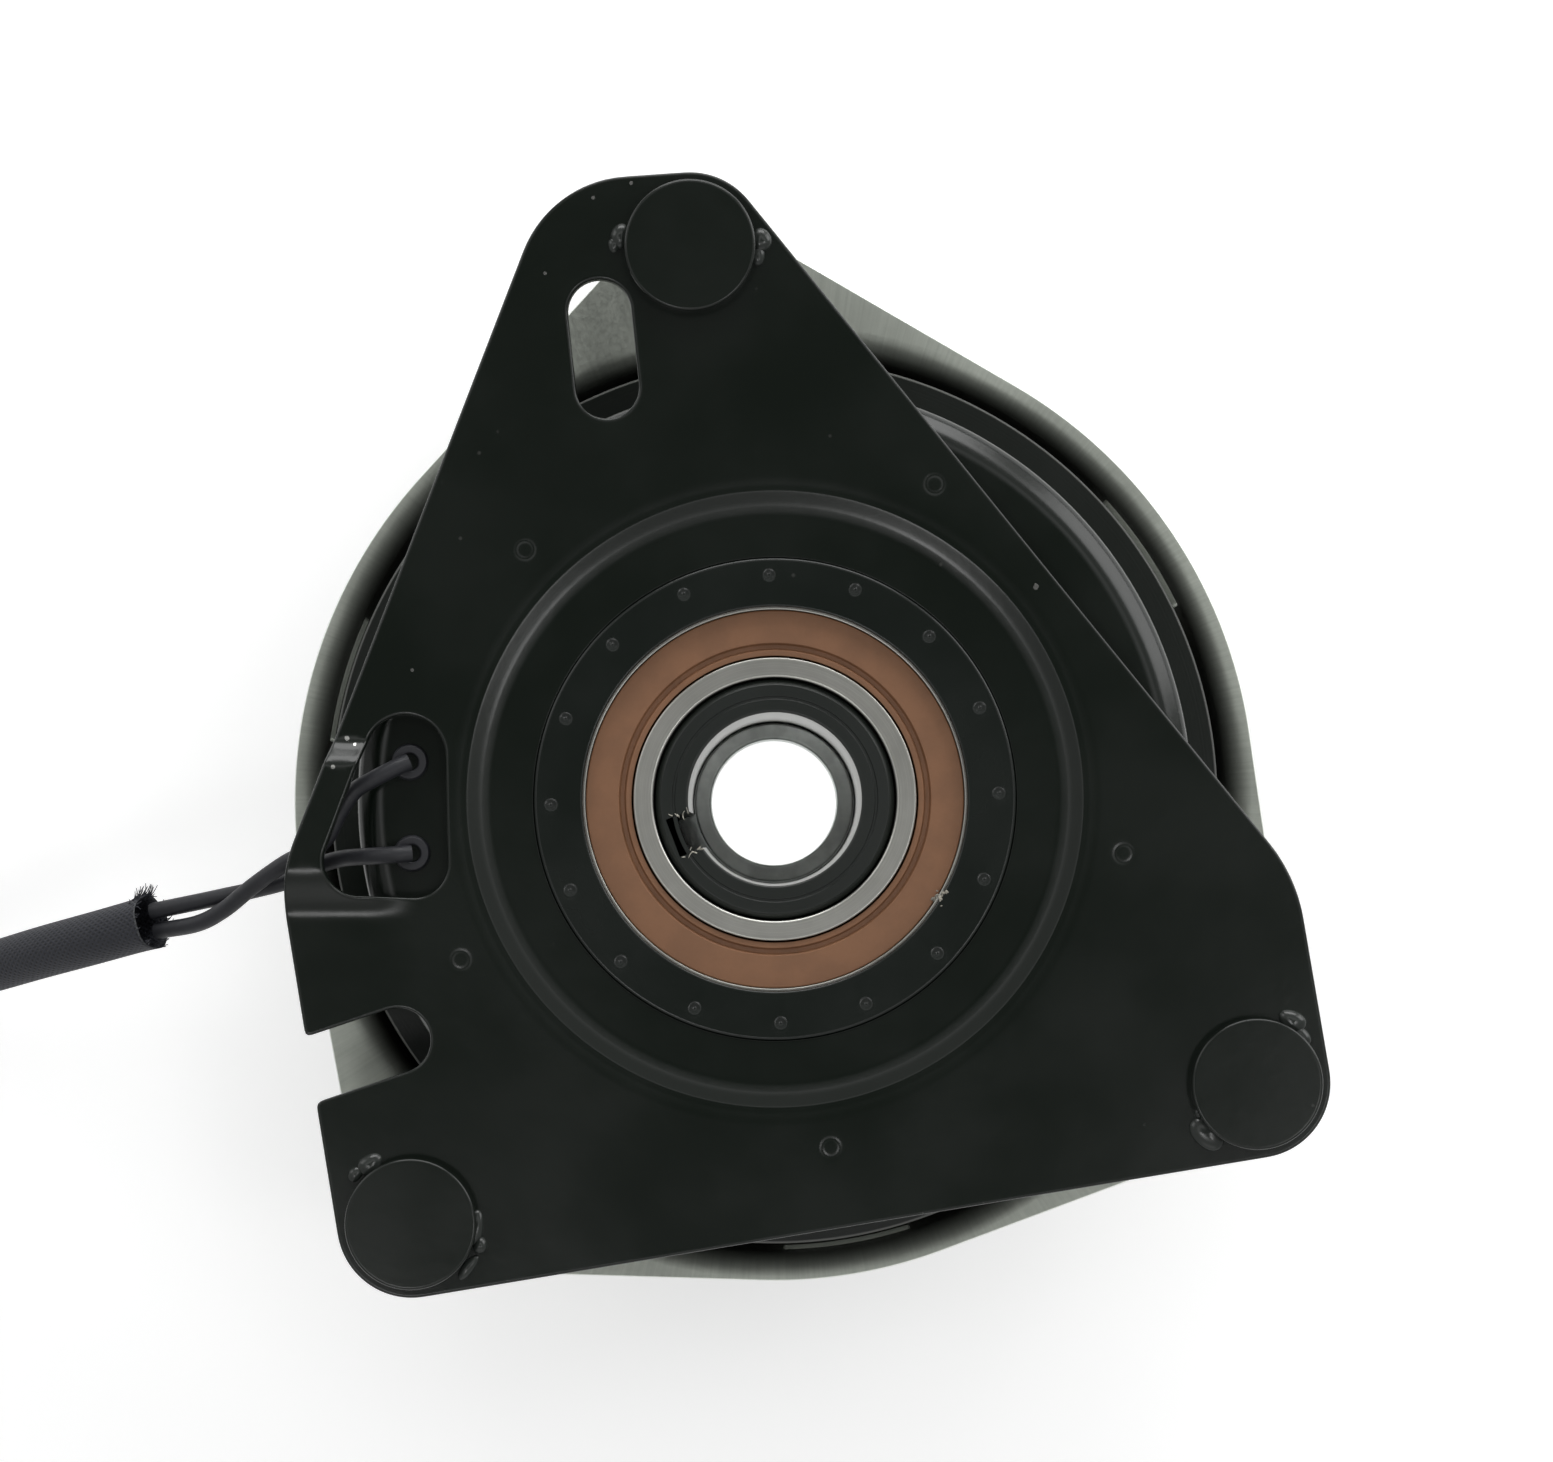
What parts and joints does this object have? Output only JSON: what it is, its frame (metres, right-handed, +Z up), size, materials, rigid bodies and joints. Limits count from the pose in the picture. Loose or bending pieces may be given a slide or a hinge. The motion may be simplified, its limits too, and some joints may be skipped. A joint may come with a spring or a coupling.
{
  "type": "electric pto clutch",
  "caption": "Electric clutch and brake for a mower deck drive: field coil on a three-cornered plate, keyed rotor, sprung armature, belt pulley, drum-shaped brake plate and wire leads.",
  "frame": {"origin": "middle of the bounding box's underside, without the free leads; the shaft axis is vertical and stands 4.8 mm towards -X and 10.5 mm towards -Y of it", "axes": "+Z up along the shaft axis, from the pulley face to the mounting plate; +Y towards the single top corner of the plate; +X to the right, away from the leads"},
  "size_m": [0.3436, 0.1846, 0.0763],
  "materials": {
    "black_paint": "semi-gloss black paint",
    "drawn_steel": "satin drawn steel",
    "ground_steel": "ground bearing steel",
    "brown_rubber": "matt rust-brown seal rubber",
    "spring_steel": "oiled spring steel",
    "zinc_plate": "zinc plate",
    "friction_lining": "moulded friction lining",
    "enamelled_copper": "enamelled copper wire",
    "potting_resin": "cast resin",
    "black_rubber": "black wire insulation and grommets",
    "black_braid": "braided sleeve",
    "black_plastic": "moulded nylon"
  },
  "bodies": {
    "field": {"field_plate": "black_paint", "field_shell": "black_paint", "bearing_housing": "black_paint", "field_coil": "enamelled_copper", "coil_potting": "potting_resin", "field_bearing_outer_ring": "ground_steel", "field_bearing_upper_seal": "brown_rubber", "field_bearing_lower_seal": "brown_rubber", "lead_grommet_upper": "black_rubber", "lead_grommet_lower": "black_rubber", "lead_upper": "black_rubber", "lead_lower": "black_rubber", "braided_sleeve": "black_braid", "connector_lead_left": "black_rubber", "connector_lead_right": "black_rubber", "lead_connector": "black_plastic", "stud_top": "black_paint", "stud_left": "black_paint", "stud_right": "black_paint", "brake_spring_top": "spring_steel", "brake_spring_left": "spring_steel", "brake_spring_right": "spring_steel"},
    "brake": {"brake_plate": "drawn_steel", "brake_washer_top": "zinc_plate", "brake_washer_left": "zinc_plate", "brake_washer_right": "zinc_plate", "brake_nut_top": "zinc_plate", "brake_nut_left": "zinc_plate", "brake_nut_right": "zinc_plate"},
    "rotor": {"rotor": "black_paint", "rotor_hub": "black_paint", "friction_ring": "friction_lining", "shaft_bush": "drawn_steel", "hub_retaining_ring": "spring_steel", "field_bearing_inner_ring": "ground_steel", "pulley_bearing_inner_ring": "ground_steel"},
    "field_cage": {"field_bearing_balls": "ground_steel"},
    "pulley": {"pulley": "black_paint", "pulley_bearing_outer_ring": "ground_steel", "pulley_bearing_upper_seal": "brown_rubber", "pulley_bearing_lower_seal": "brown_rubber", "pulley_snap_ring": "spring_steel", "leaf_spring_1": "spring_steel", "leaf_spring_2": "spring_steel", "leaf_spring_3": "spring_steel", "pulley_rivet_1": "zinc_plate", "pulley_rivet_2": "zinc_plate", "pulley_rivet_3": "zinc_plate"},
    "pulley_cage": {"pulley_bearing_balls": "ground_steel"},
    "armature": {"armature": "drawn_steel", "armature_rivet_1": "zinc_plate", "armature_rivet_2": "zinc_plate", "armature_rivet_3": "zinc_plate"}
  },
  "joints": [
    {"name": "rotor_spin", "type": "hinge", "parent": "field", "child": "rotor", "pos_m": [-0.00477, -0.01049, 0], "axis": [0, 0, 1], "continuous": true},
    {"name": "field_cage_spin", "type": "hinge", "parent": "field", "child": "field_cage", "pos_m": [-0.00477, -0.01049, 0], "axis": [0, 0, 1], "continuous": true},
    {"name": "pulley_spin", "type": "hinge", "parent": "rotor", "child": "pulley", "pos_m": [-0.00477, -0.01049, 0], "axis": [0, 0, 1], "continuous": true},
    {"name": "pulley_cage_spin", "type": "hinge", "parent": "rotor", "child": "pulley_cage", "pos_m": [-0.00477, -0.01049, 0], "axis": [0, 0, 1], "continuous": true},
    {"name": "armature_pull", "type": "slide", "parent": "pulley", "child": "armature", "axis": [0, 0, 1], "range_m": [0, 0.0004], "stiffness_N_per_m": 8000, "springref_m": -0.0005, "deforming": ["leaf_spring_1", "leaf_spring_2", "leaf_spring_3"]},
    {"name": "brake_adjust", "type": "slide", "parent": "field", "child": "brake", "axis": [0, 0, -1], "range_m": [0, 0.0012], "deforming": ["brake_spring_top", "brake_spring_left", "brake_spring_right"]}
  ],
  "couplings": [
    {"joint": "field_cage_spin", "follows": "rotor_spin", "ratio": 0.4182},
    {"joint": "pulley_cage_spin", "follows": "pulley_spin", "ratio": 0.5818}
  ]
}
